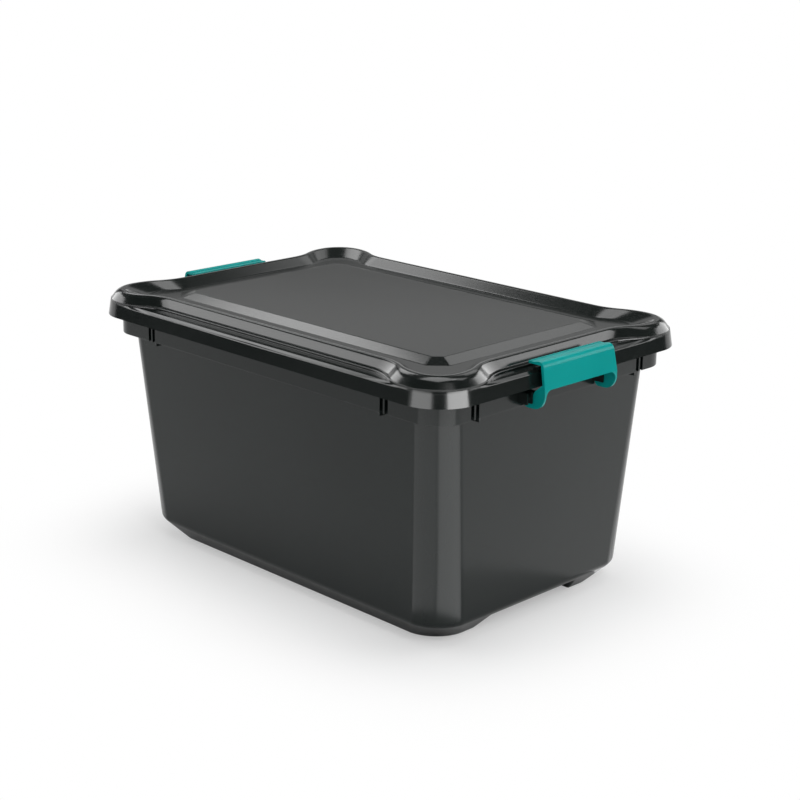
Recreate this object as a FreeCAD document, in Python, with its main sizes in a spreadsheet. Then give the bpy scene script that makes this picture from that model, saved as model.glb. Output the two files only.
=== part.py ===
import FreeCAD, Part
import math
import os

import Sketcher

# Driving dimensions in millimetres, grouped by the piece that carries them
DIMENSIONS = {
    # Lid: outline, walls and the heights of its steps above the channel behind the lip
    "lid_length": 573.0,
    "lid_width": 400.0,
    "lid_corner_radius": 46.0,
    "lid_wall": 2.3,
    "skirt_wall": 2.2,
    "skirt_drop": 13.4,
    "skirt_flare": 2.4,
    "lip_width": 4.5,
    "lip_rise": 1.2,
    "strip_rise": 3.1,
    "shoulder_rise": 11.2,
    "crest_rise": 13.9,
    "groove_rise": 5.0,
    "panel_rise": 9.8,
    # Lid: insets from the straight sides
    "strip_inset": 19.0,
    "ridge_foot_inset": 24.0,
    "shoulder_inset": 26.6,
    "crest_inset": 28.4,
    "crest_width": 4.8,
    "slope_foot_inset": 49.0,
    "panel_foot_inset": 64.0,
    "panel_top_inset": 81.0,
    # Lid: insets at the corners, where the ridge flares out to the skirt
    "strip_corner_inset": 0.8,
    "ridge_foot_corner_inset": 1.2,
    "shoulder_corner_inset": 7.4,
    "crest_corner_inset": 13.0,
    "slope_foot_corner_inset": 37.0,
    "slope_foot_corner_radius": 25.0,
    "panel_foot_corner_cut": 18.0,
    "panel_top_corner_cut": 8.5,
    # Lid: where a flare starts and ends, measured from the sharp corner of the outline
    "foot_flare_start": 117.0,
    "foot_flare_end": 51.0,
    "crest_flare_start": 110.0,
    "crest_flare_end": 47.0,
    "slope_flare_start": 106.0,
    "slope_flare_end": 63.0,
    # Lid: catch under each clip
    "catch_inset": 0.6,
    "catch_width": 5.2,
    "catch_length": 111.0,
    "catch_rise": 4.1,
    "catch_round": 2.0,
    # Tub: shell
    "tub_height": 294.8,
    "tub_wall": 2.5,
    "mouth_end_inset": 21.0,
    "mouth_side_inset": 20.2,
    "mouth_corner_radius": 49.0,
    "base_end_inset": 36.0,
    "base_side_inset": 41.0,
    "base_corner_radius": 44.0,
    "mouth_panel_recess": 2.0,
    "base_panel_recess": 0.4,
    "foot_end_inset": 59.0,
    "foot_side_inset": 61.5,
    "foot_corner_radius": 43.5,
    "base_strip_height": 24.4,
    "runner_height": 17.3,
    "runner_gap": 162.0,
    "runner_slope": 10.0,
    # Tub: rim deck, hanging band and the rib groups in the band
    "deck_thickness": 2.5,
    "deck_gap": 0.8,
    "band_inset": 14.0,
    "band_wall": 2.5,
    "band_drop": 36.4,
    "rib_thickness": 2.4,
    "rib_gap": 4.8,
    "rib_hang": 3.5,
    "slot_drop": 9.0,
    "side_rib_place": 92.0,
    "end_rib_place": 66.4,
    # Tub: clip hinges
    "hinge_inset": 6.0,
    "hinge_drop": 25.0,
    "axle_radius": 3.0,
    "hinge_rib_thickness": 2.2,
    "hinge_rib_reach": 4.6,
    "hinge_rib_half_height": 6.0,
    # Clips
    "clip_length": 118.0,
    "clip_end_draft": 2.0,
    "clip_wall": 2.6,
    "flange_reach": 11.4,
    "flange_crown": 2.3,
    "flange_groove_width": 6.5,
    "flange_groove_depth": 0.5,
    "plate_top_offset": 8.0,
    "plate_low_offset": 13.3,
    "plate_drop": 15.4,
    "clip_top_round": 7.0,
    "leg_width": 2.5,
    "leg_drop": 12.0,
    "leg_back": 9.0,
    "leg_front_round": 15.0,
    "leg_back_round": 6.0,
    "leg_top_drop": 17.8,
    "leg_shoulder": 9.0,
    "mouth_height": 2.3,
    "arch_round": 8.5,
    # Fits and cutting room
    "seat_gap": 0.2,
    "latch_gap": 3.4,
    "axle_gap": 0.3,
    "leg_gap": 1.2,
    "overrun": 5.0,
}

# Place of the flange's groove along its top, from the tip to the plate
GROOVE_PLACE_SHARE = 0.12
# Level thickness of the wall through the sloping strip at the base, in wall thicknesses
BEVEL_WALL_SHARE = 1.4
# Corner cut of the runners' troughs, as a share of the runners' corner radius
TROUGH_CORNER_SHARE = 0.8
# How near an edge lies to a place to count as found there, as a share of the half length
MATCH_SHARE = 1e-6

document = FreeCAD.newDocument("storage_box")


class Size:
    """A length with its number and the sheet expression that gives it."""

    def __init__(self, number, text):
        self.number = number
        self.text = text

    @staticmethod
    def of(value):
        """Return the value as a Size; a bare number is a factor or zero."""
        if isinstance(value, Size):
            return value
        return Size(value, repr(value))

    def __add__(self, other):
        other = Size.of(other)
        return Size(self.number + other.number, f"({self.text} + {other.text})")

    def __sub__(self, other):
        other = Size.of(other)
        return Size(self.number - other.number, f"({self.text} - {other.text})")

    def __mul__(self, factor):
        return Size(self.number * factor, f"({self.text} * {factor!r})")

    def __neg__(self):
        return self * -1

    __radd__ = __add__
    __rmul__ = __mul__


def fill_sheet(values):
    """Write the driving dimensions into a sheet, one aliased cell each, and return them as Sizes."""
    sheet = document.addObject("Spreadsheet::Sheet", "Sizes")
    for row, (name, value) in enumerate(values.items(), start=1):
        sheet.set(f"A{row}", name)
        sheet.set(f"B{row}", str(value))
        sheet.setAlias(f"B{row}", name)
    document.recompute()
    return {name: Size(float(sheet.get(name)), f"Sizes.{name}") for name in values}


SIZE = fill_sheet(DIMENSIONS)


def size(name):
    """Return one driving dimension from the sheet."""
    return SIZE[name]


# Places that several pieces share
half_length = size("lid_length") * 0.5
half_width = size("lid_width") * 0.5
rim_z = size("tub_height")
deck_underside_z = rim_z - size("deck_thickness")
band_bottom_z = rim_z - size("band_drop")
hinge_z = rim_z - size("hinge_drop")
hinge_x = half_length - size("hinge_inset")
lid_underside_z = rim_z + size("seat_gap")
channel_z = lid_underside_z + size("lid_wall")
flange_underside_z = channel_z + size("catch_rise") + size("latch_gap")
leg_outer_y = size("clip_length") * 0.5
leg_inner_y = leg_outer_y - size("leg_width")
hinge_rib_inner_y = leg_inner_y - size("leg_gap") - size("hinge_rib_thickness")
hinge_rib_outer_y = leg_outer_y + size("leg_gap")
axle_end_y = hinge_rib_outer_y + size("hinge_rib_thickness") + size("rib_gap")


def new_body(label):
    """Return a new body with the label that names its file."""
    body = document.addObject("PartDesign::Body", label)
    body.Label = label
    return body


def new_sketch(body, name, role="XY_Plane", offset=None):
    """Return a sketch on one of the body's own origin planes, moved along its normal by an offset."""
    sketch = body.newObject("Sketcher::SketchObject", name)
    plane = next(item for item in body.Origin.OriginFeatures if item.Role == role)
    sketch.AttachmentSupport = [(plane, "")]
    sketch.MapMode = "FlatFace"
    if offset is not None:
        sketch.setExpression("AttachmentOffset.Base.z", offset.text)
    return sketch


def constrain(sketch, value, *arguments):
    """Add a constraint whose datum follows the sheet."""
    index = sketch.addConstraint(Sketcher.Constraint(*arguments, value.number))
    sketch.setExpression(f"Constraints[{index}]", value.text)


def polygon(sketch, corners):
    """Draw a closed polygon whose corners, pairs of Sizes, are tied to the sketch's origin."""
    count = len(corners)
    places = [FreeCAD.Vector(x.number, y.number, 0) for x, y in corners]
    first = sketch.GeometryCount
    for step in range(count):
        sketch.addGeometry(Part.LineSegment(places[step], places[(step + 1) % count]))
    for step in range(count):
        following = first + (step + 1) % count
        sketch.addConstraint(Sketcher.Constraint("Coincident", first + step, 2, following, 1))
    for step, (x, y) in enumerate(corners):
        constrain(sketch, x, "DistanceX", -1, 1, first + step, 1)
        constrain(sketch, y, "DistanceY", -1, 1, first + step, 1)


def rectangle(sketch, low_x, high_x, low_y, high_y):
    """Draw a rectangle between four Sizes."""
    polygon(sketch, [(low_x, low_y), (high_x, low_y), (high_x, high_y), (low_x, high_y)])


def circle(sketch, x, y, radius):
    """Draw a circle tied to the sketch's origin."""
    centre = FreeCAD.Vector(x.number, y.number, 0)
    index = sketch.addGeometry(Part.Circle(centre, FreeCAD.Vector(0, 0, 1), radius.number))
    constrain(sketch, x, "DistanceX", -1, 1, index, 3)
    constrain(sketch, y, "DistanceY", -1, 1, index, 3)
    constrain(sketch, radius, "Radius", index)


def outer_corner(sketch, x, y, radius, past):
    """Draw what a round leaves over of a lower right corner, and some room past the corner."""
    inner_x, outer_x = x - radius, x + past
    upper_y, lower_y = y + radius, y - past
    centre = FreeCAD.Vector(inner_x.number, upper_y.number, 0)
    round_edge = Part.Circle(centre, FreeCAD.Vector(0, 0, 1), radius.number)
    corners = [(x, upper_y), (outer_x, upper_y), (outer_x, lower_y), (inner_x, lower_y), (inner_x, y)]
    places = [FreeCAD.Vector(across.number, up.number, 0) for across, up in corners]
    for start, end in zip(places, places[1:]):
        sketch.addGeometry(Part.LineSegment(start, end))
    arc = sketch.addGeometry(Part.ArcOfCircle(round_edge, -math.pi / 2, 0))
    for step in range(arc):
        sketch.addConstraint(Sketcher.Constraint("Coincident", step, 2, step + 1, 1))
    sketch.addConstraint(Sketcher.Constraint("Coincident", arc, 2, 0, 1))
    for step, (across, up) in enumerate(corners[:arc]):
        constrain(sketch, across, "DistanceX", -1, 1, step, 1)
        constrain(sketch, up, "DistanceY", -1, 1, step, 1)
    constrain(sketch, inner_x, "DistanceX", -1, 1, arc, 3)
    constrain(sketch, upper_y, "DistanceY", -1, 1, arc, 3)


def rounded_rectangle(sketch, length, width, radius):
    """Draw a rectangle about the origin with tangent round corners."""
    x, y, r = length.number / 2, width.number / 2, radius.number
    normal = FreeCAD.Vector(0, 0, 1)
    first = sketch.GeometryCount
    turns = [(1, -1), (1, 1), (-1, 1), (-1, -1)]
    starts = [(r - x, -y), (x, r - y), (x - r, y), (-x, y - r)]
    ends = [(x - r, -y), (x, y - r), (r - x, y), (-x, r - y)]
    for side, (turn_x, turn_y) in enumerate(turns):
        sketch.addGeometry(Part.LineSegment(FreeCAD.Vector(*starts[side], 0), FreeCAD.Vector(*ends[side], 0)))
        round_corner = Part.Circle(FreeCAD.Vector(turn_x * (x - r), turn_y * (y - r), 0), normal, r)
        from_angle = (side - 1) * math.pi / 2
        sketch.addGeometry(Part.ArcOfCircle(round_corner, from_angle, from_angle + math.pi / 2))
    for step in range(8):
        sketch.addConstraint(Sketcher.Constraint("Tangent", first + step, 2, first + (step + 1) % 8, 1))
    for side, direction in enumerate(["Horizontal", "Vertical", "Horizontal", "Vertical"]):
        sketch.addConstraint(Sketcher.Constraint(direction, first + 2 * side))
    for corner in (3, 5, 7):
        sketch.addConstraint(Sketcher.Constraint("Equal", first + 1, first + corner))
    sketch.addConstraint(Sketcher.Constraint("Symmetric", first, 1, first + 4, 1, -1, 1))
    constrain(sketch, length, "DistanceX", first + 6, 1, first + 2, 1)
    constrain(sketch, width, "DistanceY", first, 1, first + 4, 1)
    constrain(sketch, radius, "Radius", first + 1)


def column_rectangle(sketch, length, width, radius, recess):
    """Draw a rectangle of flat panels whose round corner columns stand proud of them by a recess."""
    x, y, r = length.number / 2, width.number / 2, radius.number
    normal = FreeCAD.Vector(0, 0, 1)
    centre_x = length * 0.5 + recess - radius
    centre_y = width * 0.5 + recess - radius
    swing = math.acos((r - recess.number) / r)
    reach = r * math.sin(swing)
    along_x = centre_x.number + reach
    along_y = centre_y.number + reach
    first = sketch.GeometryCount
    turns = [(1, -1), (1, 1), (-1, 1), (-1, -1)]
    starts = [(-along_x, -y), (x, -along_y), (along_x, y), (-x, along_y)]
    ends = [(along_x, -y), (x, along_y), (-along_x, y), (-x, -along_y)]
    for side, (turn_x, turn_y) in enumerate(turns):
        sketch.addGeometry(Part.LineSegment(FreeCAD.Vector(*starts[side], 0), FreeCAD.Vector(*ends[side], 0)))
        centre = FreeCAD.Vector(turn_x * centre_x.number, turn_y * centre_y.number, 0)
        from_angle = (side - 1) * math.pi / 2
        to_angle = from_angle + math.pi / 2
        column = Part.Circle(centre, normal, r)
        sketch.addGeometry(Part.ArcOfCircle(column, from_angle + swing, to_angle - swing))
    for step in range(8):
        sketch.addConstraint(Sketcher.Constraint("Coincident", first + step, 2, first + (step + 1) % 8, 1))
    for side, direction in enumerate(["Horizontal", "Vertical", "Horizontal", "Vertical"]):
        sketch.addConstraint(Sketcher.Constraint(direction, first + 2 * side))
    for side, (turn_x, turn_y) in enumerate(turns):
        constrain(sketch, radius, "Radius", first + 2 * side + 1)
        constrain(sketch, centre_x * turn_x, "DistanceX", -1, 1, first + 2 * side + 1, 3)
        constrain(sketch, centre_y * turn_y, "DistanceY", -1, 1, first + 2 * side + 1, 3)
    constrain(sketch, width * -0.5, "DistanceY", -1, 1, first, 1)
    constrain(sketch, length * 0.5, "DistanceX", -1, 1, first + 2, 1)
    constrain(sketch, width * 0.5, "DistanceY", -1, 1, first + 4, 1)
    constrain(sketch, length * -0.5, "DistanceX", -1, 1, first + 6, 1)


def pad(body, name, sketch, length, symmetric=False):
    """Raise a sketch by a length, along its normal or half to each side."""
    feature = body.newObject("PartDesign::Pad", name)
    feature.Profile = sketch
    feature.setExpression("Length", length.text)
    if symmetric:
        feature.SideType = "Symmetric"
    document.recompute()
    return feature


def pocket(body, name, sketch, length, symmetric=False):
    """Cut a sketch upward from its plane by a length, or half to each side, and check that it cuts."""
    before = body.Shape.Volume
    feature = body.newObject("PartDesign::Pocket", name)
    feature.Profile = sketch
    feature.setExpression("Length", length.text)
    feature.Reversed = True
    if symmetric:
        feature.SideType = "Symmetric"
    document.recompute()
    if not body.Shape.Volume < before:
        raise RuntimeError(f"{name} cuts nothing")
    return feature


def loft(body, kind, name, sketches):
    """Join sketches at different heights by straight walls, as an added or a removed solid."""
    feature = body.newObject(f"PartDesign::{kind}Loft", name)
    feature.Profile = sketches[0]
    feature.Sections = sketches[1:]
    feature.Ruled = True
    document.recompute()
    return feature


def edges_along(base, axis, across, height):
    """Return the names of a feature's edges that run along X or Y through a place in that view."""
    near = half_length.number * MATCH_SHARE
    names = []
    for number, edge in enumerate(base.Shape.Edges, start=1):
        misses = []
        for vertex in edge.Vertexes:
            side = vertex.X if axis == "y" else vertex.Y
            misses.append(math.hypot(side - across.number, vertex.Z - height.number))
        if max(misses) < near:
            names.append(f"Edge{number}")
    return names


def fillet(body, name, edges, base, radius):
    """Round the named edges of a feature."""
    feature = body.newObject("PartDesign::Fillet", name)
    feature.Base = (base, edges)
    feature.setExpression("Radius", radius.text)
    document.recompute()
    return feature


# Tub


def mirrored_bands(inner_x, outer_x, inner_y, outer_y):
    """Return a rectangle's limits in each of the four quarters."""
    places = []
    for low_x, high_x in ((inner_x, outer_x), (-outer_x, -inner_x)):
        for low_y, high_y in ((inner_y, outer_y), (-outer_y, -inner_y)):
            places.append((low_x, high_x, low_y, high_y))
    return places


def rib_places(step_from, step_to):
    """Return the quarters' rectangles of the rib groups, between two steps from each group's middle."""
    back_end = size("mouth_end_inset") + size("tub_wall")
    back_side = size("mouth_side_inset") + size("tub_wall")
    middle_x = half_length - size("side_rib_place")
    middle_y = half_width - size("end_rib_place")
    on_sides = mirrored_bands(middle_x + step_from, middle_x + step_to,
                              half_width - back_side, half_width - size("band_inset"))
    on_ends = mirrored_bands(half_length - back_end, half_length - size("band_inset"),
                             middle_y + step_from, middle_y + step_to)
    return on_sides + on_ends


def make_tub():
    """Build the open box: tapered shell, rim deck, hanging band, ribs, hinge axles and runners."""
    body = new_body("tub")

    def wall_outline(name, height, end_inset, side_inset, radius, recess):
        sketch = new_sketch(body, name, offset=height)
        length = size("lid_length") - 2 * end_inset
        width = size("lid_width") - 2 * side_inset
        column_rectangle(sketch, length, width, radius, recess)
        return sketch

    # Outer shell: a sloping strip round the base, then the tapered wall up to the rim
    floor_z = Size.of(0)
    strip_z = size("base_strip_height")
    foot = wall_outline("base_foot", floor_z, size("foot_end_inset"), size("foot_side_inset"),
                        size("foot_corner_radius"), size("base_panel_recess"))
    base = wall_outline("base_edge", strip_z, size("base_end_inset"), size("base_side_inset"),
                        size("base_corner_radius"), size("base_panel_recess"))
    mouth = wall_outline("mouth_edge", rim_z, size("mouth_end_inset"), size("mouth_side_inset"),
                         size("mouth_corner_radius"), size("mouth_panel_recess"))
    loft(body, "Additive", "shell", [foot, base, mouth])

    # Rim deck that the lid rests on
    deck_inset = size("skirt_wall") + size("deck_gap")
    deck = new_sketch(body, "deck_outline", offset=deck_underside_z)
    rounded_rectangle(deck, size("lid_length") - 2 * deck_inset, size("lid_width") - 2 * deck_inset,
                      size("lid_corner_radius") - deck_inset)
    pad(body, "deck", deck, size("deck_thickness"))

    # Band that hangs from the deck round the outside
    band = new_sketch(body, "band_outline", offset=band_bottom_z)
    for inset in (size("band_inset"), size("band_inset") + size("band_wall")):
        rounded_rectangle(band, size("lid_length") - 2 * inset, size("lid_width") - 2 * inset,
                          size("lid_corner_radius") - inset)
    band_height = size("band_drop") - size("deck_thickness") * 0.5
    pad(body, "band", band, band_height)

    # Rib groups between the band and the wall, three ribs with two slots each
    rib_step = size("rib_thickness") + size("rib_gap")
    ribs = new_sketch(body, "rib_outlines", offset=band_bottom_z - size("rib_hang"))
    for step in (-1, 0, 1):
        middle = rib_step * step
        for limits in rib_places(middle - size("rib_thickness") * 0.5, middle + size("rib_thickness") * 0.5):
            rectangle(ribs, *limits)
    pad(body, "ribs", ribs, band_height + size("rib_hang"))

    # Hinge ribs under the rim, and the axle stubs that they carry
    hinge_ribs = new_sketch(body, "hinge_rib_outlines", offset=hinge_z - size("hinge_rib_half_height"))
    rib_out_x = hinge_x + size("hinge_rib_reach")
    rib_in_x = half_length - size("band_inset") - size("band_wall")
    for low_y in (hinge_rib_inner_y, hinge_rib_outer_y, axle_end_y):
        for limits in mirrored_bands(rib_in_x, rib_out_x, low_y, low_y + size("hinge_rib_thickness")):
            rectangle(hinge_ribs, *limits)
    pad(body, "hinge_ribs", hinge_ribs, size("hinge_rib_half_height") * 2)
    axle_length = axle_end_y - hinge_rib_inner_y + size("hinge_rib_thickness")
    for name, start_y in (("near_axles", hinge_rib_inner_y), ("far_axles", -hinge_rib_inner_y - axle_length)):
        axles = new_sketch(body, f"{name}_outline", "XZ_Plane", start_y)
        for side in (1, -1):
            circle(axles, hinge_x * side, hinge_z, size("axle_radius"))
        pad(body, name, axles, axle_length)

    # Slots in the band between the ribs, and the windows that the clips' legs swing through
    slot_half = size("rib_gap") * 0.5
    back_x = half_length - size("band_inset") - size("band_wall") - size("seat_gap")
    back_y = half_width - size("band_inset") - size("band_wall") - size("seat_gap")
    slots = new_sketch(body, "slot_outlines", offset=band_bottom_z - size("overrun"))
    for side in (-1, 1):
        middle = rib_step * 0.5 * side
        place_x = half_length - size("side_rib_place") + middle
        place_y = half_width - size("end_rib_place") + middle
        for limits in mirrored_bands(place_x - slot_half, place_x + slot_half, back_y, half_width):
            rectangle(slots, *limits)
        for limits in mirrored_bands(back_x, half_length, place_y - slot_half, place_y + slot_half):
            rectangle(slots, *limits)
    for limits in mirrored_bands(back_x, half_length - size("band_inset") + size("seat_gap"),
                                 leg_inner_y - size("leg_gap"), leg_outer_y + size("leg_gap")):
        rectangle(slots, *limits)
    pocket(body, "slots", slots, size("band_drop") - size("slot_drop") + size("overrun"))

    # Hollow of the box, open at the rim, with a bevel at its floor beside the sloping strip
    wall = size("tub_wall")
    inner_z = size("runner_height") + wall
    bevel = strip_z - inner_z + wall * BEVEL_WALL_SHARE

    def hollow_outline(name, height, end_inset, side_inset, radius, inwards):
        sketch = new_sketch(body, name, offset=height)
        rounded_rectangle(sketch, size("lid_length") - 2 * (end_inset + inwards),
                          size("lid_width") - 2 * (side_inset + inwards), radius - inwards)
        return sketch

    base_sizes = (size("base_end_inset"), size("base_side_inset"), size("base_corner_radius"))
    mouth_sizes = (size("mouth_end_inset"), size("mouth_side_inset"), size("mouth_corner_radius"))
    inner_floor = hollow_outline("inner_floor", inner_z, *base_sizes, bevel)
    inner_base = hollow_outline("inner_base", strip_z, *base_sizes, wall)
    inner_mouth = hollow_outline("inner_mouth", rim_z, *mouth_sizes, wall)
    loft(body, "Subtractive", "hollow", [inner_floor, inner_base, inner_mouth])

    # Trough in each runner, so that the runners are shells too
    low_y = size("runner_gap") * 0.5
    high_y = low_y - size("runner_slope")
    cut_corner = size("foot_corner_radius") * TROUGH_CORNER_SHARE
    levels = [
        ("low", wall, size("foot_end_inset") + wall, size("foot_side_inset") + wall, low_y + wall),
        ("high", inner_z, size("base_end_inset") + bevel, size("base_side_inset") + bevel, high_y + wall),
    ]
    for name, side in (("far_trough", 1), ("near_trough", -1)):
        outlines = []
        for level, height, end_inset, side_inset, inner_y in levels:
            sketch = new_sketch(body, f"{name}_{level}", offset=height)
            end_x = half_length - end_inset
            outer_y = half_width - side_inset
            cut_x = end_x - cut_corner
            cut_y = outer_y - cut_corner
            corners = [(-end_x, inner_y), (end_x, inner_y), (end_x, cut_y), (cut_x, outer_y),
                       (-cut_x, outer_y), (-end_x, cut_y)]
            polygon(sketch, [(x, y * side) for x, y in corners])
            outlines.append(sketch)
        loft(body, "Subtractive", name, outlines)

    # Raised bottom between the two runners, whose inner ends slope
    gap = new_sketch(body, "runner_gap_view", "YZ_Plane")
    high_z = size("runner_height")
    polygon(gap, [(-low_y, floor_z), (low_y, floor_z), (high_y, high_z), (-high_y, high_z)])
    cut = pocket(body, "runner_gap", gap, size("lid_length"), symmetric=True)
    body.Tip = cut
    return body


# Lid


def outline_wire(height, side_inset, corner_inset, corner_radius, flare_start, flare_end):
    """Return a closed outline whose sides flare from one inset to another towards the corners."""
    x, y, z = half_length.number, half_width.number, height.number
    side, corner, radius = side_inset.number, corner_inset.number, corner_radius.number
    start, end = flare_start.number, flare_end.number
    shift, run = side - corner, start - end
    swing = 2 * math.atan2(shift, run)
    bend = run / (2 * math.sin(swing))
    first = (bend * (1 - math.cos(swing / 2)), bend * math.sin(swing / 2))
    diagonal = radius * (1 - math.sqrt(0.5))
    # Along one side: straight, two tangent arcs outwards, straight again, then half of the corner arc
    half_path = [
        ("arc", (side, start), (side - first[0], start - first[1]), (side - shift / 2, start - run / 2)),
        ("arc", (side - shift / 2, start - run / 2), (corner + first[0], end + first[1]), (corner, end)),
        ("line", (corner, end), (corner, corner + radius)),
    ]
    middle = corner + diagonal
    turn = ("arc", (corner, corner + radius), (middle, middle), (corner + radius, corner))

    def other_side(segment):
        kind, *points = segment
        return (kind, *[(away, inset) for inset, away in reversed(points)])

    corner_path = half_path + [turn] + [other_side(segment) for segment in reversed(half_path)]

    def backwards(segment):
        kind, *points = segment
        return (kind, *reversed(points))

    edges = []
    corners = []
    for sign_x, sign_y in ((1, 1), (-1, 1), (-1, -1), (1, -1)):
        path = corner_path
        if sign_x * sign_y < 0:
            path = [backwards(segment) for segment in reversed(corner_path)]
        placed = []
        for kind, *points in path:
            spots = [FreeCAD.Vector(sign_x * (x - from_end), sign_y * (y - from_side), z)
                     for from_end, from_side in points]
            placed.append((kind, spots))
        corners.append(placed)
    for number, placed in enumerate(corners):
        for kind, spots in placed:
            edge = Part.Arc(*spots) if kind == "arc" else Part.LineSegment(*spots)
            edges.append(edge.toShape())
        next_start = corners[(number + 1) % 4][0][1][0]
        edges.append(Part.LineSegment(placed[-1][1][-1], next_start).toShape())
    return Part.Wire(edges)


def plain_wire(height, inset, radius):
    """Return a rectangle with round corners, at an inset from the lid's outline."""
    x, y, z, r = (half_length - inset).number, (half_width - inset).number, height.number, radius.number
    box = Part.makePlane(2 * x, 2 * y, FreeCAD.Vector(-x, -y, z))
    solid = box.extrude(FreeCAD.Vector(0, 0, r))
    upright = [edge for edge in solid.Edges if abs(edge.tangentAt(edge.FirstParameter).z) > 0.5]
    rounded = solid.makeFillet(r, upright)
    return min(rounded.Faces, key=lambda face: face.CenterOfMass.z).OuterWire


def cut_corner_wire(height, inset, cut):
    """Return a rectangle with its corners cut off straight, at an inset from the lid's outline."""
    x, y, z, c = (half_length - inset).number, (half_width - inset).number, height.number, cut.number
    quarter = [(x, y - c), (x - c, y)]
    points = []
    for sign_x, sign_y in ((1, 1), (-1, 1), (-1, -1), (1, -1)):
        pair = quarter if sign_x * sign_y > 0 else quarter[::-1]
        points += [FreeCAD.Vector(sign_x * px, sign_y * py, z) for px, py in pair]
    return Part.makePolygon(points + points[:1])


def stack(wires):
    """Return the solid between outlines at rising heights."""
    return Part.makeLoft(wires, True, True)


def prism(wire, height):
    """Return the solid over an outline."""
    return Part.Face(wire).extrude(FreeCAD.Vector(0, 0, height.number))


def ridge_outlines(deeper, lower):
    """Return the ridge's outer outlines from foot to crest, moved in and down by a wall."""
    radius = size("lid_corner_radius")
    levels = [
        ("strip_rise", "ridge_foot_inset", "ridge_foot_corner_inset", "foot"),
        ("shoulder_rise", "shoulder_inset", "shoulder_corner_inset", "crest"),
        ("crest_rise", "crest_inset", "crest_corner_inset", "crest"),
    ]
    wires = []
    for rise, inset, corner_inset, flare in levels:
        height = channel_z + size(rise) - lower
        corner = size(corner_inset) + deeper
        wires.append(outline_wire(height, size(inset) + deeper, corner, radius - corner,
                                  size(f"{flare}_flare_start"), size(f"{flare}_flare_end")))
    return wires


def dish_outlines(shallower, lower):
    """Return the inner slope's outlines from the groove to the crest, moved out and down by a wall."""
    crest_corner = size("crest_corner_inset") + size("crest_width") - shallower
    low = outline_wire(channel_z + size("groove_rise") - lower, size("slope_foot_inset") - shallower,
                       size("slope_foot_corner_inset") - shallower, size("slope_foot_corner_radius"),
                       size("slope_flare_start"), size("slope_flare_end"))
    high = outline_wire(channel_z + size("crest_rise"), size("crest_inset") + size("crest_width") - shallower,
                        crest_corner, size("lid_corner_radius") - crest_corner,
                        size("crest_flare_start"), size("crest_flare_end"))
    return [low, high]


def panel_outlines(deeper, lower):
    """Return the middle panel's foot and top outlines, moved in and down by a wall."""
    foot = cut_corner_wire(channel_z + size("groove_rise") - lower, size("panel_foot_inset") + deeper,
                           size("panel_foot_corner_cut"))
    top = cut_corner_wire(channel_z + size("panel_rise") - lower, size("panel_top_inset") + deeper,
                          size("panel_top_corner_cut"))
    return [foot, top]


def strip_outline(height, deeper):
    """Return the outline of the strip at the ridge's foot."""
    corner = size("strip_corner_inset") + deeper
    return outline_wire(height, size("strip_inset") + deeper, corner, size("lid_corner_radius") - corner,
                        size("foot_flare_start"), size("foot_flare_end"))


def catch(side):
    """Return the raised catch under one clip, with its upper outer edges rounded."""
    width, length = size("catch_width").number, size("catch_length").number
    far_x = (half_length - size("catch_inset") - size("catch_width")).number
    height = (size("catch_rise") + size("lid_wall") * 0.5).number
    corner = FreeCAD.Vector(far_x, -length / 2, (channel_z - size("lid_wall") * 0.5).number)
    block = Part.makeBox(width, length, height, corner)
    top = max(edge.CenterOfMass.z for edge in block.Edges)
    upper = [edge for edge in block.Edges if edge.CenterOfMass.z > top - height / 2 and edge.Length > width]
    upper = [edge for edge in upper if abs(edge.tangentAt(edge.FirstParameter).y) > 0.5]
    rounded = block.makeFillet(size("catch_round").number, upper)
    if side < 0:
        rounded.rotate(FreeCAD.Vector(0, 0, 0), FreeCAD.Vector(0, 0, 1), 180)
    return rounded


def make_lid():
    """Build the lid as one formed sheet: skirt, lip, channel, flared ridge, groove and raised panel."""
    zero = Size.of(0)
    wall = size("lid_wall")
    skirt_z = lid_underside_z - size("skirt_drop")
    radius = size("lid_corner_radius")

    # Upper surface, with a skirt that flares out towards its lower edge
    flare = size("skirt_flare")
    solid = stack([plain_wire(skirt_z, -flare, radius + flare), plain_wire(channel_z, zero, radius)])
    lip = prism(plain_wire(channel_z - wall * 0.5, zero, radius), size("lip_rise") + wall * 0.5)
    lip_inset = size("lip_width")
    lip = lip.cut(prism(plain_wire(channel_z - wall, lip_inset, radius - lip_inset), wall + size("overrun")))
    strip = prism(strip_outline(channel_z - wall * 0.5, zero), size("strip_rise") + wall * 0.5)
    solid = solid.fuse([lip, strip, stack(ridge_outlines(zero, zero))])
    solid = solid.cut(stack(dish_outlines(zero, zero)))
    solid = solid.fuse([stack(panel_outlines(zero, zero)), catch(1), catch(-1)])

    # Underside, one wall below the upper surface
    skirt_inset = size("skirt_wall")
    foot_inset = skirt_inset - flare
    room = stack([plain_wire(skirt_z, foot_inset, radius - foot_inset),
                  plain_wire(lid_underside_z, skirt_inset, radius - skirt_inset)])
    strip_room = prism(strip_outline(lid_underside_z - wall, wall), size("strip_rise") + wall)
    ridge_room = stack(ridge_outlines(wall, wall)).cut(stack(dish_outlines(wall, wall)))
    panel_room = stack(panel_outlines(wall, wall))
    solid = solid.cut([room, strip_room, ridge_room, panel_room])

    # Room above the strip level up to the groove's underside
    groove_room = prism(outline_wire(channel_z, size("slope_foot_inset"), size("slope_foot_corner_inset"),
                                     size("slope_foot_corner_radius"), size("slope_flare_start"),
                                     size("slope_flare_end")), size("groove_rise") - wall)
    solid = solid.cut(groove_room).removeSplitter()

    lid = document.addObject("Part::Feature", "lid")
    lid.Label = "lid"
    lid.Shape = solid
    lid.Placement = FreeCAD.Placement()
    return lid


# Clips


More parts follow.
